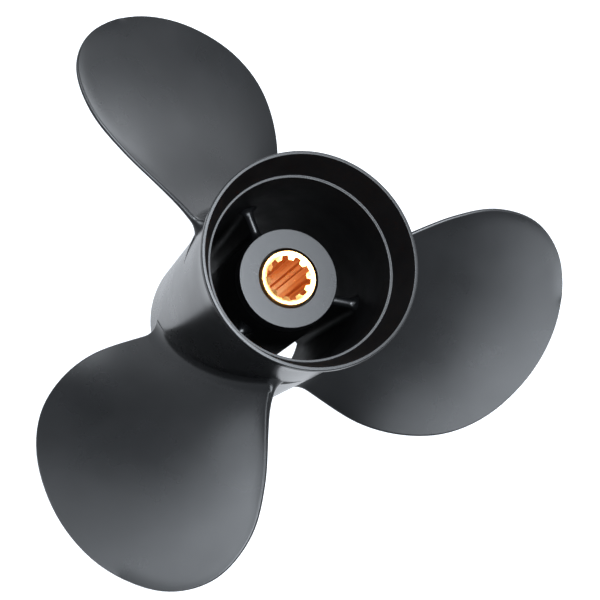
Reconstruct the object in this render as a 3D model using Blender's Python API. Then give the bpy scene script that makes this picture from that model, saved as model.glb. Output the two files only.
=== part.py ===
"""Three-blade outboard motor propeller with a through-hub exhaust.

The shaft axis is +Z, the exhaust mouth faces up, and the front end of the barrel stands on z = 0.
All sizes are in metres. Angles run counter-clockwise as seen from the exhaust mouth.
"""
import math

import bpy
import bmesh
import numpy as np
from mathutils import Vector

# Barrel: the outer shell of the hub, open at both ends for the exhaust.
BARREL_LENGTH = 0.1211
BARREL_FRONT_RADIUS = 0.0383
BARREL_AFT_RADIUS = 0.0395
BORE_FRONT_RADIUS = 0.0317
BORE_AFT_RADIUS = 0.0361
FRONT_CHAMFER = 0.0008
MOUTH_RADIUS = 0.04135
FLARE_DEPTH = 0.0134
FLARE_SMALL_RADIUS = 0.0372
LIP_RADIUS = 0.0429
LIP_WIDTH = 0.0022
LIP_FACE = 0.0009
WAIST_DEPTH = 0.0230

# Inner hub: the tapered tube that holds the rubber, closed to a lip at its aft end.
HUB_AFT_Z = BARREL_LENGTH - 0.0311
HUB_MIDDLE_Z = BARREL_LENGTH - 0.0570
HUB_FRONT_Z = 0.0030
HUB_AFT_RADIUS = 0.0203
HUB_MIDDLE_RADIUS = 0.0223
HUB_FRONT_RADIUS = 0.0233
HUB_LIP_RADIUS = 0.0122
HUB_LIP_THICKNESS = 0.0040
HUB_BORE_RADIUS = 0.0174

# Ribs between the inner hub and the barrel.
RIB_AFT_Z = BARREL_LENGTH - 0.0470
RIB_FRONT_Z = HUB_FRONT_Z + 0.0004
RIB_AFT_THICKNESS = 0.0042
RIB_FRONT_THICKNESS = 0.0056
RIB_ANGLE = math.radians(112.6)
RIB_FILLET = 0.0032

# Rubber and splined sleeve.
CLEARANCE = 0.0003
RUBBER_FRONT_Z = 0.0090
SLEEVE_RADIUS = 0.01132
SLEEVE_AFT_Z = HUB_AFT_Z + 0.0005
SLEEVE_FRONT_Z = 0.0060
SLEEVE_CHAMFER = 0.0004
SPLINE_TEETH = 10
SPLINE_GROOVE_RADIUS = 0.0092
SPLINE_TOOTH_RADIUS = 0.0076
LEAD_IN_RADIUS = 0.0095
SPLINE_ANGLE = math.radians(29.6)
GROOVE_HALF_ANGLE = math.radians(7.6)
TOOTH_HALF_ANGLE = math.radians(8.0)

# Blades: a helical face of constant pitch with rake, its outline given as seen along the shaft.
BLADES = 3
BLADE_ANGLE = math.radians(125.0)
TIP_RADIUS = 0.130175
PITCH_PER_RADIAN = 0.0510
RAKE = 0.211
RAKE_CURVE = -0.85
RAKE_RADIUS = 0.0786
FACE_Z = BARREL_LENGTH - 0.0549
OUTLINE = [
    (-0.0271, 0.0217), (-0.0506, 0.0491), (-0.0583, 0.0752), (-0.0526, 0.0978), (-0.0356, 0.1169),
    (-0.0137, 0.1273), (0.0095, 0.1270), (0.0250, 0.1158), (0.0308, 0.0967), (0.0277, 0.0754),
    (0.0178, 0.0463), (0.0147, 0.0271),
]
ROOT_THICKNESS = 0.0078
TIP_THICKNESS = 0.0026
EDGE_THICKNESS = 0.0018
ROOT_EDGE_THICKNESS = 0.0036
ROOT_EDGE_SHARE = 0.35
ROOT_FILLET = 0.0060
FILLET_END_SHARE = 0.28
ROOT_SINK = 0.0024
SECTION_POINTS = 12
OUTER_SECTIONS = 14

# Tails: a ridge that runs on round the barrel from each blade's trailing root and fades out.
TAIL_START = math.radians(22.0)
TAIL_END = math.radians(45.0)
TAIL_START_Z = BARREL_LENGTH - 0.0462
TAIL_END_Z = BARREL_LENGTH - 0.0515
TAIL_RISE = 0.0012
TAIL_HALF_WIDTH = 0.0022
TAIL_END_HALF_WIDTH = 0.0006
TAIL_SINK = 0.0004

TURNED_SEGMENTS = 72
FULL_TURN = 2.0 * math.pi


def clear_objects():
    for item in list(bpy.data.objects):
        bpy.data.objects.remove(item, do_unlink=True)


def make_material(name, colour, metallic, roughness):
    material = bpy.data.materials.new(name)
    material.use_nodes = True
    shader = material.node_tree.nodes["Principled BSDF"]
    shader.inputs["Base Color"].default_value = (*colour, 1.0)
    shader.inputs["Metallic"].default_value = metallic
    shader.inputs["Roughness"].default_value = roughness
    return material


def close_end(body, row):
    low = 0
    high = len(row) - 1
    while high - low > 2:
        body.faces.new((row[low], row[low + 1], row[high - 1], row[high]))
        low += 1
        high -= 1
    if high - low == 2:
        body.faces.new((row[low], row[low + 1], row[high]))


def object_from_rings(name, rings, loop_around=False):
    """Joins rings of points, each with the same count, into one closed skin.

    Unless the rings come back round to the first, the two ends are closed with a ladder of
    quads from one side of the ring to the other, so that an end can follow a curved surface.
    """
    mesh = bpy.data.meshes.new(name)
    body = bmesh.new()
    rows = [[body.verts.new(point) for point in ring] for ring in rings]
    pairs = list(zip(rows, rows[1:]))
    if loop_around:
        pairs.append((rows[-1], rows[0]))
    for lower, upper in pairs:
        count = len(lower)
        for i in range(count):
            j = (i + 1) % count
            body.faces.new((lower[i], lower[j], upper[j], upper[i]))
    if not loop_around:
        close_end(body, rows[0][::-1])
        close_end(body, rows[-1])
    bmesh.ops.recalc_face_normals(body, faces=body.faces)
    body.to_mesh(mesh)
    body.free()
    item = bpy.data.objects.new(name, mesh)
    bpy.context.scene.collection.objects.link(item)
    return item


def turned(name, outline, segments=TURNED_SEGMENTS):
    """Turns a closed outline of (radius, height) points about the shaft axis."""
    rings = []
    for radius, height in outline:
        ring = []
        for i in range(segments):
            angle = FULL_TURN * i / segments
            ring.append(Vector((radius * math.cos(angle), radius * math.sin(angle), height)))
        rings.append(ring)
    return object_from_rings(name, rings, loop_around=True)


def join_solids(target, others):
    """Fuses the other solids into the target and removes them."""
    for other in others:
        union = target.modifiers.new("union", "BOOLEAN")
        union.operation = "UNION"
        union.solver = "EXACT"
        union.object = other
        graph = bpy.context.evaluated_depsgraph_get()
        mesh = bpy.data.meshes.new_from_object(target.evaluated_get(graph))
        target.modifiers.remove(union)
        target.data = mesh
        bpy.data.objects.remove(other, do_unlink=True)


def barrel_outline():
    """The barrel's wall: out along the mouth's rim, down the outside, and back up the bore."""
    top = BARREL_LENGTH
    corner = 0.0007
    outside = [
        (MOUTH_RADIUS, top),
        (MOUTH_RADIUS + LIP_FACE, top),
        (LIP_RADIUS - 0.3 * corner, top - 0.3 * corner),
        (LIP_RADIUS, top - corner),
        (LIP_RADIUS, top - LIP_WIDTH + 0.3 * corner),
        (LIP_RADIUS - 0.0011, top - LIP_WIDTH - 0.0003),
    ]
    flare_start = LIP_RADIUS - 0.0013
    steps = 5
    for i in range(steps + 1):
        share = i / steps
        depth = LIP_WIDTH + 0.0010 + (WAIST_DEPTH - LIP_WIDTH - 0.0010) * share
        radius = BARREL_AFT_RADIUS + (flare_start - BARREL_AFT_RADIUS) * (1.0 - share) ** 2
        outside.append((radius, top - depth))
    outside += [
        (BARREL_FRONT_RADIUS, FRONT_CHAMFER),
        (BARREL_FRONT_RADIUS - FRONT_CHAMFER, 0.0),
    ]
    inside = [
        (BORE_FRONT_RADIUS + FRONT_CHAMFER, 0.0),
        (BORE_FRONT_RADIUS, FRONT_CHAMFER),
        (BORE_AFT_RADIUS, top - FLARE_DEPTH),
        (FLARE_SMALL_RADIUS, top - FLARE_DEPTH),
    ]
    return outside + inside


def inner_hub_outline():
    edge = 0.0004
    return [
        (HUB_LIP_RADIUS, HUB_AFT_Z),
        (HUB_AFT_RADIUS - edge, HUB_AFT_Z),
        (HUB_AFT_RADIUS, HUB_AFT_Z - edge),
        (HUB_MIDDLE_RADIUS, HUB_MIDDLE_Z),
        (HUB_FRONT_RADIUS, HUB_FRONT_Z + edge),
        (HUB_FRONT_RADIUS - edge, HUB_FRONT_Z),
        (HUB_BORE_RADIUS, HUB_FRONT_Z),
        (HUB_BORE_RADIUS, HUB_AFT_Z - HUB_LIP_THICKNESS),
        (HUB_LIP_RADIUS, HUB_AFT_Z - HUB_LIP_THICKNESS),
    ]


def quarter_round(distance, size):
    """How far a fillet pushes a wall out, at a distance from the wall that it blends into."""
    if distance >= size:
        return 0.0
    left = size - max(distance, 0.0)
    return size - math.sqrt(size ** 2 - left ** 2)


def rib_profile(swell):
    """Half of a rib's outline as (half width, height), from its front edge to its rounded crown."""
    crown = RIB_AFT_Z - RIB_AFT_THICKNESS / 2.0
    aft = RIB_AFT_THICKNESS / 2.0 + swell
    front = RIB_FRONT_THICKNESS / 2.0 + swell
    profile = []
    for height in (RIB_FRONT_Z, HUB_MIDDLE_Z):
        share = (height - RIB_FRONT_Z) / (crown - RIB_FRONT_Z)
        profile.append((front + (aft - front) * share, height))
    for i in range(4):
        turn = 0.5 * math.pi * i / 4
        profile.append((aft * math.cos(turn), crown + aft * math.sin(turn)))
    return profile, (0.0, crown + aft)


def rib_solid(index):
    """One rib: a wall along the shaft with a rounded aft edge, and fillets at its two ends."""
    angle = RIB_ANGLE + FULL_TURN * index / BLADES
    outward = Vector((math.cos(angle), math.sin(angle), 0.0))
    sideways = Vector((-math.sin(angle), math.cos(angle), 0.0))
    hub_heights = [HUB_FRONT_Z, HUB_MIDDLE_Z, HUB_AFT_Z]
    hub_radii = [HUB_FRONT_RADIUS, HUB_MIDDLE_RADIUS, HUB_AFT_RADIUS]
    bore_heights = [0.0, BARREL_LENGTH - FLARE_DEPTH]
    bore_radii = [BORE_FRONT_RADIUS, BORE_AFT_RADIUS]
    distances = [-0.0011, 0.0, 0.0004, 0.0013, RIB_FILLET]
    stations = [("hub", d) for d in distances] + [("bore", d) for d in reversed(distances)]
    rings = []
    for wall, distance in stations:
        side, crown = rib_profile(quarter_round(distance, RIB_FILLET))
        ring = []
        for across, height in side + [crown] + [(-x, z) for x, z in reversed(side)]:
            if wall == "hub":
                reach = float(np.interp(height, hub_heights, hub_radii)) + distance
            else:
                reach = float(np.interp(height, bore_heights, bore_radii)) - distance
            along = math.sqrt(reach ** 2 - across ** 2)
            ring.append(outward * along + sideways * across + Vector((0.0, 0.0, height)))
        rings.append(ring)
    return object_from_rings("rib_solid", rings)


def smooth_outline(points, samples=40):
    """A smooth curve through the blade's outline points (Catmull-Rom)."""
    pts = np.array(points)
    pts = np.vstack([2 * pts[0] - pts[1], pts, 2 * pts[-1] - pts[-2]])
    curve = []
    for a, b, c, d in zip(pts, pts[1:], pts[2:], pts[3:]):
        for t in np.linspace(0.0, 1.0, samples, endpoint=False):
            curve.append(0.5 * (2 * b + (c - a) * t + (2 * a - 5 * b + 4 * c - d) * t ** 2
                                + (3 * b - a - 3 * c + d) * t ** 3))
    curve.append(pts[-2])
    return np.array(curve)


def blade_edges():
    """Radius and angle along the leading and trailing edges, from root to tip."""
    curve = smooth_outline(OUTLINE)
    radius = np.hypot(curve[:, 0], curve[:, 1])
    radius *= TIP_RADIUS / radius.max()
    angle = np.arctan2(curve[:, 0], curve[:, 1])
    tip = int(radius.argmax())
    leading = (radius[:tip + 1], angle[:tip + 1])
    trailing = (radius[tip:][::-1], angle[tip:][::-1])
    return leading, trailing


def face_height(radius, angle):
    """Height of the blade's driving face."""
    out = radius - RAKE_RADIUS
    return FACE_Z + PITCH_PER_RADIAN * angle + RAKE * out + RAKE_CURVE * out * out


def edge_thickness(share):
    """Thickness at the blade's edges, which grows towards the root."""
    near = max(0.0, 1.0 - max(share, 0.0) / ROOT_EDGE_SHARE)
    return EDGE_THICKNESS + (ROOT_EDGE_THICKNESS - EDGE_THICKNESS) * near * near


def section_loop(chord, thickness, edge, offset):
    """Closed section: along is measured down the chord from its middle, across is aft."""
    half_edge = edge / 2.0
    shares = 0.5 - 0.5 * np.cos(np.linspace(0.0, math.pi, SECTION_POINTS))
    along = (shares - 0.5) * (chord - edge)
    bulge = np.sin(math.pi * shares ** 0.9) ** 0.9
    depth = edge + (thickness - edge) * bulge
    aft = [(x, half_edge) for x in along]
    forward = [(x, half_edge - d) for x, d in zip(along, depth)]
    nose = [(along[0] - 0.7 * half_edge, 0.7 * half_edge), (along[0] - half_edge, 0.0),
            (along[0] - 0.7 * half_edge, -0.7 * half_edge)]
    tail = [(along[-1] + 0.7 * half_edge, -0.7 * half_edge), (along[-1] + half_edge, 0.0),
            (along[-1] + 0.7 * half_edge, 0.7 * half_edge)]
    loop = np.array(nose[1:] + forward + tail + aft[::-1] + nose[:1])
    before = np.roll(loop, 1, axis=0)
    after = np.roll(loop, -1, axis=0)
    tangent = after - before
    tangent /= np.linalg.norm(tangent, axis=1)[:, None]
    normal = np.column_stack([-tangent[:, 1], tangent[:, 0]])
    centre = loop.mean(axis=0)
    if ((loop - centre) * normal).sum() < 0.0:
        normal = -normal
    return loop + normal * offset * np.array([FILLET_END_SHARE, 1.0])


def blade_solid(index):
    leading, trailing = blade_edges()
    root = BARREL_FRONT_RADIUS + 0.4 * (BARREL_AFT_RADIUS - BARREL_FRONT_RADIUS)
    heights = [-ROOT_SINK, 0.0, 0.0004, 0.0012, 0.0026, 0.0042, ROOT_FILLET]
    radii = [root + h for h in heights]
    start = radii[-1]
    for i in range(1, OUTER_SECTIONS + 1):
        share = i / (OUTER_SECTIONS + 0.35)
        radii.append(start + (TIP_RADIUS - start) * (1.0 - (1.0 - share) ** 1.8))
    phase = BLADE_ANGLE + FULL_TURN * index / BLADES
    rings = []
    for radius in radii:
        first = float(np.interp(radius, *leading))
        last = float(np.interp(radius, *trailing))
        middle = 0.5 * (first + last)
        slope = math.atan2(PITCH_PER_RADIAN, radius)
        chord = (last - first) * radius / math.cos(slope)
        share = (radius - root) / (TIP_RADIUS - root)
        thickness = ROOT_THICKNESS + (TIP_THICKNESS - ROOT_THICKNESS) * max(share, 0.0) ** 0.8
        thickness = min(thickness, max(EDGE_THICKNESS * 1.05, 0.12 * chord))
        edge = edge_thickness(share)
        loop = section_loop(chord, thickness, edge, quarter_round(radius - root, ROOT_FILLET))
        ring = []
        for along, across in loop:
            sweep = along * math.cos(slope) - across * math.sin(slope)
            rise = along * math.sin(slope) + across * math.cos(slope)
            angle = phase + middle + sweep / radius
            height = face_height(radius, middle) + rise
            ring.append(Vector((radius * math.cos(angle), radius * math.sin(angle), height)))
        rings.append(ring)
    return object_from_rings("blade_solid", rings)


def tail_solid(index, steps=12, points=6):
    """A low ridge with a rounded crest, partly sunk in the barrel so that it fades into it."""
    phase = BLADE_ANGLE + FULL_TURN * index / BLADES
    rings = []
    for i in range(steps + 1):
        share = i / steps
        angle = phase + TAIL_START + (TAIL_END - TAIL_START) * share
        middle = TAIL_START_Z + (TAIL_END_Z - TAIL_START_Z) * share
        half_width = TAIL_HALF_WIDTH + (TAIL_END_HALF_WIDTH - TAIL_HALF_WIDTH) * share
        rise = TAIL_RISE * (1.0 - share) ** 1.4 + TAIL_SINK
        ring = []
        for j in range(points + 1):
            across = 2.0 * j / points - 1.0
            height = middle + half_width * across
            slope = (BARREL_AFT_RADIUS - BARREL_FRONT_RADIUS) / (BARREL_LENGTH - WAIST_DEPTH)
            reach = BARREL_FRONT_RADIUS + slope * height - TAIL_SINK
            reach += rise * math.cos(0.5 * math.pi * across)
            ring.append(Vector((reach * math.cos(angle), reach * math.sin(angle), height)))
        foot = BARREL_FRONT_RADIUS - 0.0020
        for height in (middle + half_width, middle - half_width):
            ring.append(Vector((foot * math.cos(angle), foot * math.sin(angle), height)))
        rings.append(ring)
    return object_from_rings("tail_solid", rings)


def finish(item, material, angle=32.0):
    item.data.materials.clear()
    item.data.materials.append(material)
    for polygon in item.data.polygons:
        polygon.use_smooth = True
    item.data.set_sharp_from_angle(angle=math.radians(angle))


def propeller_casting(material):
    """Barrel, inner hub, ribs, blades and their tails: one aluminium casting."""
    casting = turned("propeller_casting", barrel_outline())
    inner_hub = turned("inner_hub_solid", inner_hub_outline())
    ribs = [rib_solid(i) for i in range(BLADES)]
    blades = [blade_solid(i) for i in range(BLADES)]
    tails = [tail_solid(i) for i in range(BLADES)]
    join_solids(casting, [inner_hub] + ribs + blades + tails)
    finish(casting, material)
    return casting


def rubber_bushing(material):
    outer = HUB_BORE_RADIUS - CLEARANCE
    inner = SLEEVE_RADIUS + CLEARANCE
    top = HUB_AFT_Z - HUB_LIP_THICKNESS - CLEARANCE
    bushing = turned("rubber_bushing", [
        (inner, top), (outer, top), (outer, RUBBER_FRONT_Z + 0.0008),
        (outer - 0.0008, RUBBER_FRONT_Z), (inner, RUBBER_FRONT_Z),
    ])
    finish(bushing, material)
    return bushing


def spline_ring():
    """Angles and radii around the splined bore, four points to a tooth."""
    pitch = FULL_TURN / SPLINE_TEETH
    corners = []
    for i in range(SPLINE_TEETH):
        groove = SPLINE_ANGLE + pitch * i
        corners.append((groove - GROOVE_HALF_ANGLE, SPLINE_GROOVE_RADIUS))
        corners.append((groove + GROOVE_HALF_ANGLE, SPLINE_GROOVE_RADIUS))
        corners.append((groove + 0.5 * pitch - TOOTH_HALF_ANGLE, SPLINE_TOOTH_RADIUS))
        corners.append((groove + 0.5 * pitch + TOOTH_HALF_ANGLE, SPLINE_TOOTH_RADIUS))
    return corners


def splined_sleeve(material):
    """The sleeve, with a 45 degree lead-in cut into the ends of its splines."""
    corners = spline_ring()

    def circle(radius, height):
        return [Vector((radius * math.cos(a), radius * math.sin(a), height)) for a, _ in corners]

    def spline_end(face, inward):
        ring = []
        for angle, radius in corners:
            height = face + inward * (LEAD_IN_RADIUS - radius)
            ring.append(Vector((radius * math.cos(angle), radius * math.sin(angle), height)))
        return ring

    rings = [
        spline_end(SLEEVE_AFT_Z, -1.0),
        circle(LEAD_IN_RADIUS, SLEEVE_AFT_Z),
        circle(SLEEVE_RADIUS - SLEEVE_CHAMFER, SLEEVE_AFT_Z),
        circle(SLEEVE_RADIUS, SLEEVE_AFT_Z - SLEEVE_CHAMFER),
        circle(SLEEVE_RADIUS, SLEEVE_FRONT_Z + SLEEVE_CHAMFER),
        circle(SLEEVE_RADIUS - SLEEVE_CHAMFER, SLEEVE_FRONT_Z),
        circle(LEAD_IN_RADIUS, SLEEVE_FRONT_Z),
        spline_end(SLEEVE_FRONT_Z, 1.0),
    ]
    sleeve = object_from_rings("splined_sleeve", rings, loop_around=True)
    finish(sleeve, material)
    return sleeve


def build():
    clear_objects()
    paint = make_material("black_paint", (0.035, 0.036, 0.038), 0.0, 0.35)
    rubber = make_material("black_rubber", (0.018, 0.018, 0.018), 0.0, 0.8)
    bronze = make_material("bronze", (0.62, 0.36, 0.16), 1.0, 0.3)
    propeller_casting(paint)
    rubber_bushing(rubber)
    splined_sleeve(bronze)


build()
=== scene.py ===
"""The look of the three-blade outboard propeller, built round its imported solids.

The shaft axis is +Z, the exhaust mouth faces up, and the barrel's front end stands on the floor.
All sizes are in metres. Angles run counter-clockwise as seen from the exhaust mouth.
"""

import math

import bmesh
import bpy
import numpy as np
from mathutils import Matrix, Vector


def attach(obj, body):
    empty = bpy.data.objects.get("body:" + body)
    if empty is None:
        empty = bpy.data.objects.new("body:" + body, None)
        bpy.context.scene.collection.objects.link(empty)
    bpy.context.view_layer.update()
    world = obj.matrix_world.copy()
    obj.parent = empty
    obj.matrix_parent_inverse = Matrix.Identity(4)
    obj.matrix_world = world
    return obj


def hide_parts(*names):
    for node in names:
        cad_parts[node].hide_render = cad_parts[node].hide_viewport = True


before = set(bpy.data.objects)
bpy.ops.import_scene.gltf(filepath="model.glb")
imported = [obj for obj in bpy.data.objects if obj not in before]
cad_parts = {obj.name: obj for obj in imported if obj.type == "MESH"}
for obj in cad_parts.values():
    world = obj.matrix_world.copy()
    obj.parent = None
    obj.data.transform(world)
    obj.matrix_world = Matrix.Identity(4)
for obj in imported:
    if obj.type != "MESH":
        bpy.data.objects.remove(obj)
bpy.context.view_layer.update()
FULL_TURN = 2.0 * math.pi

# Barrel, as in the solids.
BARREL_LENGTH = 0.1211
BARREL_FRONT_RADIUS = 0.0383
BARREL_AFT_RADIUS = 0.0395
BORE_FRONT_RADIUS = 0.0317
BORE_AFT_RADIUS = 0.0361
MOUTH_RADIUS = 0.04135
FLARE_DEPTH = 0.0134
FLARE_SMALL_RADIUS = 0.0372
LIP_RADIUS = 0.0429
LIP_WIDTH = 0.0022
WAIST_DEPTH = 0.0230

# The lip's corners, measured from its radius and its width, and where the flare starts below it.
LIP_TAPER = 0.0002
LIP_SLANT = 0.0001
LIP_UNDERCUT = 0.0012
LIP_UNDERSIDE_DROP = 0.0002
BELOW_LIP_INSET = 0.0013
BELOW_LIP_DEPTH = 0.0010

# Small roundings of the barrel's corners.
RIM_ROUND = 0.0002
LIP_TOP_ROUND = 0.0005
LIP_SIDE_ROUND = 0.0004
LIP_UNDERSIDE_ROUND = 0.0002
FRONT_END_ROUND = 0.0007
LEDGE_ROUND = 0.0003

# Inner hub and ribs.
HUB_AFT_Z = BARREL_LENGTH - 0.0311
HUB_MIDDLE_Z = BARREL_LENGTH - 0.0570
HUB_FRONT_Z = 0.0030
HUB_AFT_RADIUS = 0.0203
HUB_MIDDLE_RADIUS = 0.0223
HUB_FRONT_RADIUS = 0.0233
HUB_LIP_RADIUS = 0.0122
HUB_LIP_THICKNESS = 0.0040
HUB_BORE_RADIUS = 0.0174
HUB_LIP_ROUND = 0.0003
HUB_AFT_ROUND = 0.0004
HUB_FRONT_ROUND = 0.0006
HUB_BORE_FRONT_ROUND = 0.0005
HUB_BORE_AFT_ROUND = 0.0006
RIBS = 3
RIB_AFT_Z = BARREL_LENGTH - 0.0470
RIB_FRONT_Z = HUB_FRONT_Z + 0.0004
RIB_AFT_THICKNESS = 0.0042
RIB_FRONT_THICKNESS = 0.0056
RIB_ANGLE = math.radians(112.6)
RIB_FILLET = 0.0032
RIB_SINK = 0.0011

# Rubber and splined sleeve.
CLEARANCE = 0.0003
RUBBER_FRONT_Z = 0.0090
RUBBER_INNER_ROUND = 0.0003
RUBBER_AFT_ROUND = 0.0008
RUBBER_FRONT_ROUND = 0.0010
SLEEVE_RADIUS = 0.01132
SLEEVE_AFT_Z = HUB_AFT_Z + 0.0005
SLEEVE_FRONT_Z = 0.0060
SLEEVE_CHAMFER = 0.0004
SLEEVE_EDGE = 0.0001
SPLINE_TEETH = 10
SPLINE_GROOVE_RADIUS = 0.0092
SPLINE_TOOTH_RADIUS = 0.0076
LEAD_IN_RADIUS = 0.0095
LEAD_IN_SLOPE = 0.45
SPLINE_ANGLE = math.radians(29.6)
GROOVE_HALF_ANGLE = math.radians(7.0)
TOOTH_HALF_ANGLE = math.radians(6.6)

# Blades: a helical face of constant pitch with rake, its outline given as seen along the shaft.
BLADES = 3
BLADE_ANGLE = math.radians(125.0)
TIP_RADIUS = 0.1300
PITCH_PER_RADIAN = 0.0510
RAKE = 0.211
RAKE_CURVE = -0.85
RAKE_RADIUS = 0.0786
FACE_Z = BARREL_LENGTH - 0.0549
OUTLINE = [
    (-0.0271, 0.0217), (-0.0506, 0.0491), (-0.0583, 0.0752), (-0.0526, 0.0978), (-0.0356, 0.1169),
    (-0.0137, 0.1273), (0.0095, 0.1270), (0.0250, 0.1158), (0.0308, 0.0967), (0.0277, 0.0754),
    (0.0178, 0.0463), (0.0147, 0.0271),
]
ROOT_THICKNESS = 0.0078
TIP_THICKNESS = 0.0026
EDGE_THICKNESS = 0.0018
ROOT_EDGE_THICKNESS = 0.0036
ROOT_EDGE_SHARE = 0.35
THICKNESS_POWER = 0.8
MOST_THICKNESS_TO_CHORD = 0.12
LEAST_THICKNESS_TO_EDGE = 1.05
SECTION_LEAN = 0.9
SECTION_FULLNESS = 0.9
ROOT_FILLET = 0.0060
FILLET_END_SHARE = 0.28
CUP_WIDTH = 0.0050
CUP_RISE = 0.00040
CUP_START = 0.0060
ROOT_SINK = 0.0024
ROOT_TAPER_SHARE = 0.4

# Tails: a ridge that runs on round the barrel from each blade's trailing root and fades out.
TAIL_START = math.radians(22.0)
TAIL_END = math.radians(45.0)
TAIL_START_Z = BARREL_LENGTH - 0.0462
TAIL_END_Z = BARREL_LENGTH - 0.0515
TAIL_RISE = 0.0012
TAIL_HALF_WIDTH = 0.0022
TAIL_END_HALF_WIDTH = 0.0006
TAIL_SINK = 0.0004
TAIL_FADE = 1.4
TAIL_FOOT_DEPTH = 0.0020

# How finely the shapes are divided.
TURNED_SEGMENTS = 192
SIDE_RINGS = 36
BELOW_LIP_RINGS = 10
MOUTH_RINGS = 6
HUB_AFT_RINGS = 10
HUB_FRONT_RINGS = 20
CORNER_STEPS = 4
RIB_SIDE_STEPS = 12
RIB_CROWN_STEPS = 8
RIB_FILLET_STEPS = 8
OUTLINE_STEPS = 60
SECTION_POINTS = 26
NOSE_POINTS = 7
FILLET_SECTIONS = 10
OUTER_SECTIONS = 40
TAIL_STEPS = 28
TAIL_POINTS = 14
SPLINE_STEPS = 24

# Blade sections lie closer together towards the tip, and the last one stops just short of it.
TIP_CROWDING = 1.8
TIP_STOP = 0.35

# Shading: edges sharper than these angles, in degrees, stay crisp.
CASTING_CREASE = 34.0
RUBBER_CREASE = 34.0
SLEEVE_CREASE = 30.0
ON_BARREL_MARGIN = 0.00015
FRONT_END_MARGIN = 0.002

# Where the casting's paint changes, and the places in its list of materials of the passage's darker
# paint, which is painted shade, and of the hub face's grainier paint.
PASSAGE_MARGIN = 0.0004
WALL_TILT = 0.35
HUB_FACE_MARGIN = 0.0002
# The passage's darker paint is painted shade deep inside the barrel.
PASSAGE_SHADE_SLOT = 1
HUB_FACE_FINISH = 2

# Finishes.
NOISE_LOW = 0.3
NOISE_HIGH = 0.7
PAINT_TINT = (0.94, 0.97, 1.0, 1.0)
ORANGE_PEEL_DEPTH = 0.00002
FINE_GRAIN_DEPTH = 0.000008
HUB_FACE_GRAIN_DEPTH = 0.000022
PASSAGE_GRAIN_DEPTH = 0.00003
RUBBER_GRAIN_DEPTH = 0.00004
BROACHING_DEPTH = 0.00002
BROACHING_STRETCH = 0.03

# Camera, at the photograph's viewing angle.
CAMERA_PLACE = (-0.143891, -0.129745, 0.572027)
CAMERA_TURN = (16.0188, -17.8966, 0.2979)
CAMERA_LENS = 78.4416
CAMERA_SHIFT = (-0.02583, -0.09917)

# Light: each lamp's name, azimuth and elevation in degrees, and radiance; white paper is 1.
FAR_DISTANCE = 1.3
FAR_SIZE = 0.60
FAR_LIGHTS = [
    ("top_left", 120.0, 84.0, 30.0),
    ("top_right", 0.0, 84.0, 24.0),
    ("back_top", 90.0, 70.0, 19.0),
    ("back_high", 45.0, 64.0, 6.9),
    ("front_high", 270.0, 64.0, 19.3),
    ("right_high", 315.0, 64.0, 17.9),
    ("left_high", 150.0, 46.0, 17.7),
    ("left_middle", 120.0, 46.0, 4.4),
    ("left_low", 144.0, 26.0, 9.2),
    ("back_low", 75.0, 6.0, 12.9),
    ("back_right_low", 60.0, 6.0, 7.9),
    ("right_back_low", 45.0, 6.0, 3.5),
    ("right_low", 22.0, 6.0, 2.8),
]
NEAR_DISTANCE = 0.5
NEAR_SIZE = 0.26
NEAR_LIGHTS = [
    ("front_near", 240.0, 54.0, 11.5),
]
LIGHT_TARGET_Z = 0.07
LAMP_COLOR = (0.92, 0.955, 1.0)
SURROUND_COLOR = (0.89, 0.935, 1.0)
WORLD_RADIANCE = 1.25
FLOOR_RADIANCE = 1.25
FLOOR_RADIUS = 2.5
FLOOR_DROP = 0.0002
FLOOR_SEGMENTS = 96


def on_circle(radius, angle, height):
    """The point at a radius, angle and height about the shaft axis."""
    return Vector((radius * math.cos(angle), radius * math.sin(angle), height))


def object_from_mesh(name, body):
    """Makes a scene object of a mesh that is being built, with its faces turned outward."""
    mesh = bpy.data.meshes.new(name)
    bmesh.ops.recalc_face_normals(body, faces=body.faces)
    body.to_mesh(mesh)
    body.free()
    item = bpy.data.objects.new(name, mesh)
    bpy.context.scene.collection.objects.link(item)
    return item


def close_end(body, row):
    """Closes a ring with a ladder of quads, so that the end can follow a curved surface."""
    low = 0
    high = len(row) - 1
    while high - low > 2:
        body.faces.new((row[low], row[low + 1], row[high - 1], row[high]))
        low += 1
        high -= 1
    if high - low == 2:
        body.faces.new((row[low], row[low + 1], row[high]))


def object_from_rings(name, rings, loop_around=False):
    """Joins rings of points, each with the same count, into one closed skin."""
    body = bmesh.new()
    rows = [[body.verts.new(point) for point in ring] for ring in rings]
    pairs = list(zip(rows, rows[1:]))
    if loop_around:
        pairs.append((rows[-1], rows[0]))
    for lower, upper in pairs:
        count = len(lower)
        for i in range(count):
            j = (i + 1) % count
            body.faces.new((lower[i], lower[j], upper[j], upper[i]))
    if not loop_around:
        close_end(body, rows[0][::-1])
        close_end(body, rows[-1])
    return object_from_mesh(name, body)


def turned(name, outline):
    """Turns a closed outline of (radius, height) points about the shaft axis."""
    angles = [FULL_TURN * i / TURNED_SEGMENTS for i in range(TURNED_SEGMENTS)]
    rings = [[on_circle(radius, angle, height) for angle in angles] for radius, height in outline]
    return object_from_rings(name, rings, loop_around=True)


def join_solids(target, others):
    """Fuses the other solids into the target and removes them."""
    for other in others:
        union = target.modifiers.new("union", "BOOLEAN")
        union.operation = "UNION"
        union.solver = "MANIFOLD"
        union.object = other
        graph = bpy.context.evaluated_depsgraph_get()
        mesh = bpy.data.meshes.new_from_object(target.evaluated_get(graph))
        target.modifiers.remove(union)
        target.data = mesh
        bpy.data.objects.remove(other, do_unlink=True)


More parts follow.
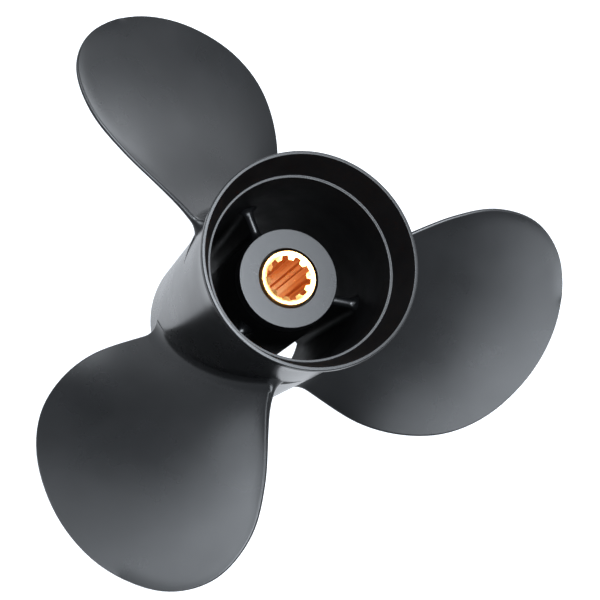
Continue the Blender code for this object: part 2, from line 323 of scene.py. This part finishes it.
def rounded(corners):
    """A closed outline whose corners (radius, height, rounding) become small arcs."""
    outline = []
    count = len(corners)
    for i, (radius, height, rounding) in enumerate(corners):
        here = Vector((radius, height))
        if rounding == 0.0:
            outline.append(here)
            continue
        into = (Vector(corners[i - 1][:2]) - here).normalized()
        out = (Vector(corners[(i + 1) % count][:2]) - here).normalized()
        half = into.angle(out) / 2.0
        centre = here + (into + out).normalized() * (rounding / math.sin(half))
        start = here + into * (rounding / math.tan(half)) - centre
        end = here + out * (rounding / math.tan(half)) - centre
        for step in range(CORNER_STEPS + 1):
            outline.append(centre + start.slerp(end, step / CORNER_STEPS) * rounding)
    return outline


def spread(first, last, count):
    """Corners between two points of an outline, without the points themselves."""
    corners = []
    for i in range(1, count):
        share = i / count
        radius = first[0] + (last[0] - first[0]) * share
        height = first[1] + (last[1] - first[1]) * share
        corners.append((radius, height, 0.0))
    return corners


def barrel_outline():
    """The barrel's wall: out along the mouth's rim, down the outside, and back up the bore."""
    top = BARREL_LENGTH
    corners = [
        (MOUTH_RADIUS, top, RIM_ROUND),
        (LIP_RADIUS - LIP_TAPER, top, LIP_TOP_ROUND),
        (LIP_RADIUS, top - LIP_WIDTH + LIP_SLANT, LIP_SIDE_ROUND),
        (LIP_RADIUS - LIP_UNDERCUT, top - LIP_WIDTH - LIP_UNDERSIDE_DROP, LIP_UNDERSIDE_ROUND),
    ]
    flare_start = LIP_RADIUS - BELOW_LIP_INSET
    flare_top = LIP_WIDTH + BELOW_LIP_DEPTH
    for i in range(BELOW_LIP_RINGS + 1):
        share = i / BELOW_LIP_RINGS
        depth = flare_top + (WAIST_DEPTH - flare_top) * share
        radius = BARREL_AFT_RADIUS + (flare_start - BARREL_AFT_RADIUS) * (1.0 - share) ** 2
        corners.append((radius, top - depth, 0.0))
    waist = (BARREL_AFT_RADIUS, top - WAIST_DEPTH)
    foot = (BARREL_FRONT_RADIUS, 0.0)
    corners += spread(waist, foot, SIDE_RINGS)
    corners.append((BARREL_FRONT_RADIUS, 0.0, FRONT_END_ROUND))
    corners.append((BORE_FRONT_RADIUS, 0.0, FRONT_END_ROUND))
    ledge = top - FLARE_DEPTH
    corners += spread((BORE_FRONT_RADIUS, 0.0), (BORE_AFT_RADIUS, ledge), SIDE_RINGS)
    corners.append((BORE_AFT_RADIUS, ledge, LEDGE_ROUND))
    corners.append((FLARE_SMALL_RADIUS, ledge, LEDGE_ROUND))
    corners += spread((FLARE_SMALL_RADIUS, ledge), (MOUTH_RADIUS, top), MOUTH_RINGS)
    return rounded(corners)


def inner_hub_outline():
    """The inner hub's wall, with the flat lip that closes in round the sleeve at its aft end."""
    corners = [
        (HUB_LIP_RADIUS, HUB_AFT_Z, HUB_LIP_ROUND),
        (HUB_AFT_RADIUS, HUB_AFT_Z, HUB_AFT_ROUND),
    ]
    middle = (HUB_MIDDLE_RADIUS, HUB_MIDDLE_Z)
    corners += spread((HUB_AFT_RADIUS, HUB_AFT_Z), middle, HUB_AFT_RINGS)
    corners.append((*middle, 0.0))
    corners += spread(middle, (HUB_FRONT_RADIUS, HUB_FRONT_Z), HUB_FRONT_RINGS)
    corners += [
        (HUB_FRONT_RADIUS, HUB_FRONT_Z, HUB_FRONT_ROUND),
        (HUB_BORE_RADIUS, HUB_FRONT_Z, HUB_BORE_FRONT_ROUND),
        (HUB_BORE_RADIUS, HUB_AFT_Z - HUB_LIP_THICKNESS, HUB_BORE_AFT_ROUND),
        (HUB_LIP_RADIUS, HUB_AFT_Z - HUB_LIP_THICKNESS, HUB_LIP_ROUND),
    ]
    return rounded(corners)


def quarter_round(distance, size):
    """How far a fillet pushes a wall out, at a distance from the wall that it blends into."""
    if distance >= size:
        return 0.0
    left = size - max(distance, 0.0)
    return size - math.sqrt(size ** 2 - left ** 2)


def rib_profile(swell):
    """Half of a rib's outline as (half width, height), from its front edge to its rounded crown."""
    crown = RIB_AFT_Z - RIB_AFT_THICKNESS / 2.0
    aft = RIB_AFT_THICKNESS / 2.0 + swell
    front = RIB_FRONT_THICKNESS / 2.0 + swell
    profile = []
    for i in range(RIB_SIDE_STEPS):
        share = i / RIB_SIDE_STEPS
        profile.append((front + (aft - front) * share, RIB_FRONT_Z + (crown - RIB_FRONT_Z) * share))
    for i in range(RIB_CROWN_STEPS):
        turn = 0.5 * math.pi * i / RIB_CROWN_STEPS
        profile.append((aft * math.cos(turn), crown + aft * math.sin(turn)))
    return profile, (0.0, crown + aft)


def rib_solid(index):
    """One rib: a wall along the shaft with a rounded aft edge, and fillets at its two ends."""
    angle = RIB_ANGLE + FULL_TURN * index / RIBS
    outward = Vector((math.cos(angle), math.sin(angle), 0.0))
    sideways = Vector((-math.sin(angle), math.cos(angle), 0.0))
    hub_heights = [HUB_FRONT_Z, HUB_MIDDLE_Z, HUB_AFT_Z]
    hub_radii = [HUB_FRONT_RADIUS, HUB_MIDDLE_RADIUS, HUB_AFT_RADIUS]
    bore_heights = [0.0, BARREL_LENGTH - FLARE_DEPTH]
    bore_radii = [BORE_FRONT_RADIUS, BORE_AFT_RADIUS]
    shares = [i / RIB_FILLET_STEPS for i in range(RIB_FILLET_STEPS + 1)]
    distances = [-RIB_SINK] + [RIB_FILLET * share ** 2 for share in shares]
    stations = [("hub", d) for d in distances] + [("bore", d) for d in reversed(distances)]
    rings = []
    for wall, distance in stations:
        side, crown = rib_profile(quarter_round(distance, RIB_FILLET))
        ring = []
        for across, height in side + [crown] + [(-x, z) for x, z in reversed(side)]:
            if wall == "hub":
                reach = float(np.interp(height, hub_heights, hub_radii)) + distance
            else:
                reach = float(np.interp(height, bore_heights, bore_radii)) - distance
            along = math.sqrt(reach ** 2 - across ** 2)
            ring.append(outward * along + sideways * across + Vector((0.0, 0.0, height)))
        rings.append(ring)
    return object_from_rings("rib_solid", rings)


def smooth_outline(points):
    """A smooth curve through the blade's outline points (Catmull-Rom)."""
    pts = np.array(points)
    pts = np.vstack([2 * pts[0] - pts[1], pts, 2 * pts[-1] - pts[-2]])
    curve = []
    for a, b, c, d in zip(pts, pts[1:], pts[2:], pts[3:]):
        for t in np.linspace(0.0, 1.0, OUTLINE_STEPS, endpoint=False):
            curve.append(0.5 * (2 * b + (c - a) * t + (2 * a - 5 * b + 4 * c - d) * t ** 2
                                + (3 * b - a - 3 * c + d) * t ** 3))
    curve.append(pts[-2])
    return np.array(curve)


def blade_edges():
    """Radius and angle along the leading and trailing edges, from root to tip."""
    curve = smooth_outline(OUTLINE)
    radius = np.hypot(curve[:, 0], curve[:, 1])
    radius *= TIP_RADIUS / radius.max()
    angle = np.arctan2(curve[:, 0], curve[:, 1])
    tip = int(radius.argmax())
    leading = (radius[:tip + 1], angle[:tip + 1])
    trailing = (radius[tip:][::-1], angle[tip:][::-1])
    return leading, trailing


def face_height(radius, angle):
    """Height of the blade's driving face."""
    out = radius - RAKE_RADIUS
    return FACE_Z + PITCH_PER_RADIAN * angle + RAKE * out + RAKE_CURVE * out * out


def edge_thickness(share):
    """Thickness at the blade's edges, which grows towards the root."""
    near = max(0.0, 1.0 - max(share, 0.0) / ROOT_EDGE_SHARE)
    return EDGE_THICKNESS + (ROOT_EDGE_THICKNESS - EDGE_THICKNESS) * near * near


def flat_edge(radius, angle):
    """One edge of the blade laid out flat, as the ends of its pieces: along the helix, and out."""
    points = np.column_stack([angle * np.hypot(radius, PITCH_PER_RADIAN), radius])
    return points[:-1], points[1:]


def cup_rise(along, radius, edge):
    """How far the blade curls aft close to its trailing edge."""
    starts, ends = edge
    pieces = ends - starts
    point = np.array([along, radius])
    share = ((point - starts) * pieces).sum(axis=1) / np.maximum((pieces ** 2).sum(axis=1), 1e-12)
    nearest = starts + pieces * np.clip(share, 0.0, 1.0)[:, None]
    distance = np.hypot(*(nearest - point).T).min()
    return CUP_RISE * max(0.0, 1.0 - distance / CUP_WIDTH) ** 2


def section_points(chord, edge):
    """Points along a section's flat length, close together at its two edges."""
    shares = 0.5 - 0.5 * np.cos(np.linspace(0.0, math.pi, SECTION_POINTS))
    return shares, (shares - 0.5) * (chord - edge)


def section_loop(chord, thickness, edge, offset, cup):
    """Closed section: along is measured down the chord from its middle, across is aft."""
    half_edge = edge / 2.0
    shares, along = section_points(chord, edge)
    bulge = np.sin(math.pi * shares ** SECTION_LEAN) ** SECTION_FULLNESS
    depth = edge + (thickness - edge) * bulge
    aft = [(x, half_edge + c) for x, c in zip(along, cup)]
    forward = [(x, half_edge + c - d) for x, c, d in zip(along, cup, depth)]
    turns = np.linspace(0.0, math.pi, NOSE_POINTS + 2)[1:-1]
    nose = [(along[0] - half_edge * math.sin(t), half_edge * math.cos(t)) for t in turns]
    tail = [(along[-1] + half_edge * math.sin(t), -half_edge * math.cos(t)) for t in turns]
    nose = [(x, y + cup[0]) for x, y in nose]
    tail = [(x, y + cup[-1]) for x, y in tail]
    loop = np.array(nose[1:] + forward + tail + aft[::-1] + nose[:1])
    tangent = np.roll(loop, -1, axis=0) - np.roll(loop, 1, axis=0)
    tangent /= np.linalg.norm(tangent, axis=1)[:, None]
    normal = np.column_stack([-tangent[:, 1], tangent[:, 0]])
    if ((loop - loop.mean(axis=0)) * normal).sum() < 0.0:
        normal = -normal
    return loop + normal * offset * np.array([FILLET_END_SHARE, 1.0])


def blade_radii(root):
    """Radii of the sections: close together in the root fillet and towards the tip."""
    radii = [root - ROOT_SINK]
    for i in range(FILLET_SECTIONS + 1):
        radii.append(root + ROOT_FILLET * (i / FILLET_SECTIONS) ** 2)
    start = radii[-1]
    for i in range(1, OUTER_SECTIONS + 1):
        share = i / (OUTER_SECTIONS + TIP_STOP)
        radii.append(start + (TIP_RADIUS - start) * (1.0 - (1.0 - share) ** TIP_CROWDING))
    return radii


def blade_solid(index):
    """One blade: sections across it from inside the barrel's wall out to the tip."""
    leading, trailing = blade_edges()
    trailing_edge = flat_edge(*trailing)
    root = BARREL_FRONT_RADIUS + ROOT_TAPER_SHARE * (BARREL_AFT_RADIUS - BARREL_FRONT_RADIUS)
    phase = BLADE_ANGLE + FULL_TURN * index / BLADES
    rings = []
    for radius in blade_radii(root):
        first = float(np.interp(radius, *leading))
        last = float(np.interp(radius, *trailing))
        middle = 0.5 * (first + last)
        slope = math.atan2(PITCH_PER_RADIAN, radius)
        chord = (last - first) * radius / math.cos(slope)
        share = (radius - root) / (TIP_RADIUS - root)
        thinning = max(share, 0.0) ** THICKNESS_POWER
        thickness = ROOT_THICKNESS + (TIP_THICKNESS - ROOT_THICKNESS) * thinning
        least = EDGE_THICKNESS * LEAST_THICKNESS_TO_EDGE
        thickness = min(thickness, max(least, MOST_THICKNESS_TO_CHORD * chord))
        edge = edge_thickness(share)
        helix = math.hypot(radius, PITCH_PER_RADIAN)
        fade = min(max((radius - root) / CUP_START - 1.0, 0.0), 1.0)
        places = section_points(chord, edge)[1] + middle * helix
        cup = [fade * cup_rise(place, radius, trailing_edge) for place in places]
        loop = section_loop(chord, thickness, edge, quarter_round(radius - root, ROOT_FILLET), cup)
        ring = []
        for along, across in loop:
            sweep = along * math.cos(slope) - across * math.sin(slope)
            rise = along * math.sin(slope) + across * math.cos(slope)
            angle = phase + middle + sweep / radius
            height = face_height(radius, middle) + rise
            ring.append(on_circle(radius, angle, height))
        rings.append(ring)
    return object_from_rings("blade_solid", rings)


def barrel_radius(height):
    """Radius of the barrel's outside between its front end and its waist."""
    slope = (BARREL_AFT_RADIUS - BARREL_FRONT_RADIUS) / (BARREL_LENGTH - WAIST_DEPTH)
    return BARREL_FRONT_RADIUS + slope * height


def tail_solid(index):
    """A low ridge with a rounded crest, partly sunk in the barrel so that it fades into it."""
    phase = BLADE_ANGLE + FULL_TURN * index / BLADES
    rings = []
    for i in range(TAIL_STEPS + 1):
        share = i / TAIL_STEPS
        angle = phase + TAIL_START + (TAIL_END - TAIL_START) * share
        middle = TAIL_START_Z + (TAIL_END_Z - TAIL_START_Z) * share
        half_width = TAIL_HALF_WIDTH + (TAIL_END_HALF_WIDTH - TAIL_HALF_WIDTH) * share
        rise = TAIL_RISE * (1.0 - share) ** TAIL_FADE + TAIL_SINK
        ring = []
        for j in range(TAIL_POINTS + 1):
            across = 2.0 * j / TAIL_POINTS - 1.0
            height = middle + half_width * across
            reach = barrel_radius(height) - TAIL_SINK
            reach += rise * math.cos(0.5 * math.pi * across)
            ring.append(on_circle(reach, angle, height))
        foot = BARREL_FRONT_RADIUS - TAIL_FOOT_DEPTH
        for height in (middle + half_width, middle - half_width):
            ring.append(on_circle(foot, angle, height))
        rings.append(ring)
    return object_from_rings("tail_solid", rings)


def soften_roots(mesh):
    """Lets the shading run on from the barrel into the blades where their roots meet it."""
    waist = BARREL_LENGTH - WAIST_DEPTH
    for edge in mesh.edges:
        ends = [mesh.vertices[index].co for index in edge.vertices]
        offsets = [abs(math.hypot(end.x, end.y) - barrel_radius(end.z)) for end in ends]
        on_barrel = all(offset < ON_BARREL_MARGIN for offset in offsets)
        between_ends = all(FRONT_END_MARGIN < end.z < waist for end in ends)
        if on_barrel and between_ends:
            edge.use_edge_sharp = False


def shade(item, material, crease):
    """Gives a piece its finish, and smooth shading that stays crisp at the sharper edges."""
    item.data.materials.clear()
    item.data.materials.append(material)
    for polygon in item.data.polygons:
        polygon.use_smooth = True
    item.data.set_sharp_from_angle(angle=math.radians(crease))
    weighted = item.modifiers.new("weighted_normals", "WEIGHTED_NORMAL")
    weighted.keep_sharp = True


def in_passage(polygon):
    """True on the walls inside the barrel, which get painted shade: a darker paint for the shade deep
    in the passage.
    """
    centre = polygon.center
    normal = polygon.normal
    radius = math.hypot(centre.x, centre.y)
    inward = centre.x * normal.x + centre.y * normal.y < 0.0
    in_flare = inward and centre.z > BARREL_LENGTH - FLARE_DEPTH
    inside = HUB_AFT_RADIUS + PASSAGE_MARGIN < radius < FLARE_SMALL_RADIUS
    return (inside or in_flare) and radius > HUB_AFT_RADIUS and abs(normal.z) < WALL_TILT


def on_hub_face(polygon):
    """True on the inner hub's flat aft face."""
    radius = math.hypot(polygon.center.x, polygon.center.y)
    return radius < HUB_AFT_RADIUS and abs(polygon.center.z - HUB_AFT_Z) < HUB_FACE_MARGIN


def make_casting():
    """Barrel, inner hub, ribs, blades and their tails: one aluminium casting."""
    casting = turned("painted_casting", barrel_outline())
    inner_hub = turned("inner_hub_solid", inner_hub_outline())
    ribs = [rib_solid(i) for i in range(RIBS)]
    blades = [blade_solid(i) for i in range(BLADES)]
    tails = [tail_solid(i) for i in range(BLADES)]
    join_solids(casting, [inner_hub] + ribs + blades + tails)
    shade(casting, satin_black_paint("satin_black_paint", FINE_GRAIN_DEPTH), CASTING_CREASE)
    soften_roots(casting.data)
    # The exhaust passage's walls get a darker paint: painted shade deep in the barrel.
    casting.data.materials.append(passage_shade_paint())
    casting.data.materials.append(satin_black_paint("grainy_black_paint", HUB_FACE_GRAIN_DEPTH))
    for polygon in casting.data.polygons:
        if in_passage(polygon):
            polygon.material_index = PASSAGE_SHADE_SLOT
        elif on_hub_face(polygon):
            polygon.material_index = HUB_FACE_FINISH
    return casting


def make_bushing(material):
    """The rubber ring that fills the inner hub round the sleeve."""
    outer = HUB_BORE_RADIUS - CLEARANCE
    inner = SLEEVE_RADIUS + CLEARANCE
    top = HUB_AFT_Z - HUB_LIP_THICKNESS - CLEARANCE
    bushing = turned("rubber_ring", rounded([
        (inner, top, RUBBER_INNER_ROUND),
        (outer, top, RUBBER_AFT_ROUND),
        (outer, RUBBER_FRONT_Z, RUBBER_FRONT_ROUND),
        (inner, RUBBER_FRONT_Z, RUBBER_INNER_ROUND),
    ]))
    shade(bushing, material, RUBBER_CREASE)
    return bushing


def spline_ring():
    """Angles and radii round the splined bore: parallel grooves with eased corners."""
    pitch = FULL_TURN / SPLINE_TEETH
    half_pitch = pitch / 2.0
    flank = half_pitch - GROOVE_HALF_ANGLE - TOOTH_HALF_ANGLE
    ring = []
    for i in range(SPLINE_TEETH * SPLINE_STEPS):
        turn = pitch * i / SPLINE_STEPS
        from_groove = abs((turn + half_pitch) % pitch - half_pitch)
        share = min(max((from_groove - GROOVE_HALF_ANGLE) / flank, 0.0), 1.0)
        share = share * share * (3.0 - 2.0 * share)
        radius = SPLINE_GROOVE_RADIUS + (SPLINE_TOOTH_RADIUS - SPLINE_GROOVE_RADIUS) * share
        ring.append((SPLINE_ANGLE + turn, radius))
    return ring


def make_sleeve(material):
    """The splined sleeve, with a shallow conical lead-in cut into the ends of its splines."""
    corners = spline_ring()

    def circle(radius, height):
        return [on_circle(radius, angle, height) for angle, _ in corners]

    def spline_end(face, inward):
        ring = []
        for angle, radius in corners:
            height = face + inward * LEAD_IN_SLOPE * (LEAD_IN_RADIUS - radius)
            ring.append(on_circle(radius, angle, height))
        return ring

    rings = [
        spline_end(SLEEVE_AFT_Z, -1.0),
        circle(LEAD_IN_RADIUS - SLEEVE_EDGE, SLEEVE_AFT_Z - SLEEVE_EDGE),
        circle(LEAD_IN_RADIUS + SLEEVE_EDGE, SLEEVE_AFT_Z),
        circle(SLEEVE_RADIUS - SLEEVE_CHAMFER, SLEEVE_AFT_Z),
        circle(SLEEVE_RADIUS, SLEEVE_AFT_Z - SLEEVE_CHAMFER),
        circle(SLEEVE_RADIUS, SLEEVE_FRONT_Z + SLEEVE_CHAMFER),
        circle(SLEEVE_RADIUS - SLEEVE_CHAMFER, SLEEVE_FRONT_Z),
        circle(LEAD_IN_RADIUS + SLEEVE_EDGE, SLEEVE_FRONT_Z),
        circle(LEAD_IN_RADIUS - SLEEVE_EDGE, SLEEVE_FRONT_Z + SLEEVE_EDGE),
        spline_end(SLEEVE_FRONT_Z, 1.0),
    ]
    sleeve = object_from_rings("bronze_sleeve", rings, loop_around=True)
    shade(sleeve, material, SLEEVE_CREASE)
    return sleeve


class Nodes:
    """A material's node tree, with short calls for the nodes that the finishes use."""

    def __init__(self, name):
        self.material = bpy.data.materials.new(name)
        self.material.use_nodes = True
        self.tree = self.material.node_tree
        self.shader = self.tree.nodes["Principled BSDF"]
        self.place = self.tree.nodes.new("ShaderNodeTexCoord").outputs["Object"]

    def link(self, source, target):
        self.tree.links.new(source, target)

    def noise(self, scale, detail=3.0, roughness=0.5, place=None):
        """A cloudy pattern, finer with a larger scale."""
        node = self.tree.nodes.new("ShaderNodeTexNoise")
        node.inputs["Scale"].default_value = scale
        node.inputs["Detail"].default_value = detail
        node.inputs["Roughness"].default_value = roughness
        self.link(place or self.place, node.inputs["Vector"])
        return node.outputs["Fac"]

    def drawn_out(self, share):
        """Coordinates in which a pattern is drawn out along the shaft, more with a smaller share."""
        node = self.tree.nodes.new("ShaderNodeVectorMath")
        node.operation = "MULTIPLY"
        node.inputs[1].default_value = (1.0, 1.0, share)
        self.link(self.place, node.inputs[0])
        return node.outputs["Vector"]

    def blend(self, factor, first, second):
        """A colour that runs from the first to the second with a pattern."""
        node = self.tree.nodes.new("ShaderNodeValToRGB")
        node.color_ramp.elements[0].position = NOISE_LOW
        node.color_ramp.elements[1].position = NOISE_HIGH
        node.color_ramp.elements[0].color = (*first, 1.0)
        node.color_ramp.elements[1].color = (*second, 1.0)
        self.link(factor, node.inputs["Fac"])
        return node.outputs["Color"]

    def between(self, factor, low, high):
        """A number that runs from low to high with a pattern."""
        node = self.tree.nodes.new("ShaderNodeMapRange")
        node.inputs["From Min"].default_value = NOISE_LOW
        node.inputs["From Max"].default_value = NOISE_HIGH
        node.inputs["To Min"].default_value = low
        node.inputs["To Max"].default_value = high
        self.link(factor, node.inputs["Value"])
        return node.outputs["Result"]

    def bump(self, height, depth, before=None):
        """Makes a pattern into a relief of this depth, on top of the relief before it."""
        node = self.tree.nodes.new("ShaderNodeBump")
        node.inputs["Strength"].default_value = 1.0
        node.inputs["Distance"].default_value = depth
        self.link(height, node.inputs["Height"])
        if before is not None:
            self.link(before, node.inputs["Normal"])
        return node.outputs["Normal"]


def satin_black_paint(name, grain_depth):
    """Satin black paint over a casting: faint orange peel and slight changes of tone."""
    nodes = Nodes(name)
    shader = nodes.shader
    tone = nodes.blend(nodes.noise(55.0, 4.0), (0.0008, 0.0009, 0.0010), (0.0016, 0.0017, 0.0019))
    nodes.link(tone, shader.inputs["Base Color"])
    nodes.link(nodes.between(nodes.noise(38.0, 4.0), 0.25, 0.31), shader.inputs["Roughness"])
    shader.inputs["Specular IOR Level"].default_value = 0.18
    shader.inputs["Specular Tint"].default_value = PAINT_TINT
    soft = nodes.bump(nodes.noise(160.0, 2.0), ORANGE_PEEL_DEPTH)
    fine = nodes.bump(nodes.noise(1500.0, 3.0, 0.6), grain_depth, soft)
    nodes.link(fine, shader.inputs["Normal"])
    return nodes.material


def passage_shade_paint():
    """Painted shade on the exhaust passage's walls: a darker black than the satin paint, rougher and
    less glossy, with a coarser grain.
    """
    nodes = Nodes("passage_shade_paint")
    shader = nodes.shader
    # Darker than the satin paint: painted shade deep in the passage.
    tone = nodes.blend(nodes.noise(120.0, 4.0), (0.0004, 0.0004, 0.0005), (0.0008, 0.0008, 0.0009))
    nodes.link(tone, shader.inputs["Base Color"])
    nodes.link(nodes.between(nodes.noise(90.0, 4.0), 0.48, 0.60), shader.inputs["Roughness"])
    shader.inputs["Specular IOR Level"].default_value = 0.05
    shader.inputs["Specular Tint"].default_value = PAINT_TINT
    grain = nodes.bump(nodes.noise(1100.0, 4.0, 0.6), PASSAGE_GRAIN_DEPTH)
    nodes.link(grain, shader.inputs["Normal"])
    return nodes.material


def black_rubber():
    """Matt moulded rubber with a fine grain."""
    nodes = Nodes("matt_black_rubber")
    shader = nodes.shader
    tone = nodes.blend(nodes.noise(240.0, 4.0), (0.0035, 0.0035, 0.0035), (0.0070, 0.0070, 0.0066))
    nodes.link(tone, shader.inputs["Base Color"])
    nodes.link(nodes.between(nodes.noise(120.0), 0.62, 0.80), shader.inputs["Roughness"])
    shader.inputs["Specular IOR Level"].default_value = 0.20
    grain = nodes.bump(nodes.noise(900.0, 4.0), RUBBER_GRAIN_DEPTH)
    nodes.link(grain, shader.inputs["Normal"])
    return nodes.material


def bronze():
    """Machined bronze, a little uneven in tone, with fine broaching marks along the shaft."""
    nodes = Nodes("machined_bronze")
    shader = nodes.shader
    marks = nodes.noise(900.0, place=nodes.drawn_out(BROACHING_STRETCH))
    tone = nodes.blend(marks, (0.82, 0.34, 0.090), (1.0, 0.56, 0.20))
    nodes.link(tone, shader.inputs["Base Color"])
    shader.inputs["Metallic"].default_value = 1.0
    nodes.link(nodes.between(nodes.noise(420.0), 0.26, 0.36), shader.inputs["Roughness"])
    nodes.link(nodes.bump(marks, BROACHING_DEPTH), shader.inputs["Normal"])
    return nodes.material


def floor_material():
    """White studio paper, lit so evenly that it shows next to no shadow."""
    nodes = Nodes("studio_paper")
    shader = nodes.shader
    tone = nodes.blend(nodes.noise(3.0), (0.07, 0.07, 0.07), (0.09, 0.09, 0.09))
    nodes.link(tone, shader.inputs["Base Color"])
    shader.inputs["Roughness"].default_value = 0.9
    shader.inputs["Specular IOR Level"].default_value = 0.0
    shader.inputs["Emission Color"].default_value = (*SURROUND_COLOR, 1.0)
    shader.inputs["Emission Strength"].default_value = FLOOR_RADIANCE
    return nodes.material


def make_floor():
    """A round sheet of paper just under the part's front end."""
    body = bmesh.new()
    bmesh.ops.create_circle(body, cap_ends=True, segments=FLOOR_SEGMENTS, radius=FLOOR_RADIUS)
    floor = object_from_mesh("studio_floor", body)
    floor.location.z = -FLOOR_DROP
    floor.data.materials.append(floor_material())


def make_camera():
    """The camera, with the lens and shift that give the photograph's framing."""
    data = bpy.data.cameras.new("camera")
    data.sensor_width = 36.0
    data.lens = CAMERA_LENS
    data.shift_x, data.shift_y = CAMERA_SHIFT
    data.clip_start = 0.01
    camera = bpy.data.objects.new("camera", data)
    camera.location = CAMERA_PLACE
    camera.rotation_euler = [math.radians(turn) for turn in CAMERA_TURN]
    bpy.context.scene.collection.objects.link(camera)
    bpy.context.scene.camera = camera


def soft_light(name, azimuth, elevation, distance, size, radiance):
    """A round soft light that faces the propeller, and whose disc has this radiance."""
    data = bpy.data.lights.new(name, "AREA")
    data.shape = "DISK"
    data.size = size
    data.color = LAMP_COLOR
    data.energy = radiance * math.pi * math.pi * (size / 2.0) ** 2
    light = bpy.data.objects.new(name, data)
    turn = math.radians(azimuth)
    rise = math.radians(elevation)
    toward = Vector((math.cos(turn) * math.cos(rise), math.sin(turn) * math.cos(rise), math.sin(rise)))
    target = Vector((0.0, 0.0, LIGHT_TARGET_Z))
    light.location = target + toward * distance
    light.rotation_euler = toward.to_track_quat("Z", "Y").to_euler()
    light.visible_camera = False
    bpy.context.scene.collection.objects.link(light)


def make_lights():
    """Large lamps some way off, and a small one closer for the change of tone along a blade."""
    for name, azimuth, elevation, radiance in NEAR_LIGHTS:
        soft_light(name, azimuth, elevation, NEAR_DISTANCE, NEAR_SIZE, radiance)
    for name, azimuth, elevation, radiance in FAR_LIGHTS:
        soft_light(name, azimuth, elevation, FAR_DISTANCE, FAR_SIZE, radiance)


def make_world():
    """Even white surroundings."""
    world = bpy.data.worlds.new("studio")
    world.use_nodes = True
    background = world.node_tree.nodes["Background"]
    background.inputs["Color"].default_value = (*SURROUND_COLOR, 1.0)
    background.inputs["Strength"].default_value = WORLD_RADIANCE
    bpy.context.scene.world = world
    bpy.context.scene.view_settings.view_transform = "Standard"


def main():
    """Sets up the studio, makes the pieces, puts them on the root body and hides the solids that they
    stand for.
    """
    make_camera()
    make_world()
    make_floor()
    make_lights()
    casting = make_casting()
    bushing = make_bushing(black_rubber())
    sleeve = make_sleeve(bronze())
    stands_for = [
        (casting, "propeller_casting", "black_paint"),
        (bushing, "rubber_bushing", "black_rubber"),
        (sleeve, "splined_sleeve", "bronze"),
    ]
    for piece, node, slot in stands_for:
        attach(piece, "root")
        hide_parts(node)


main()
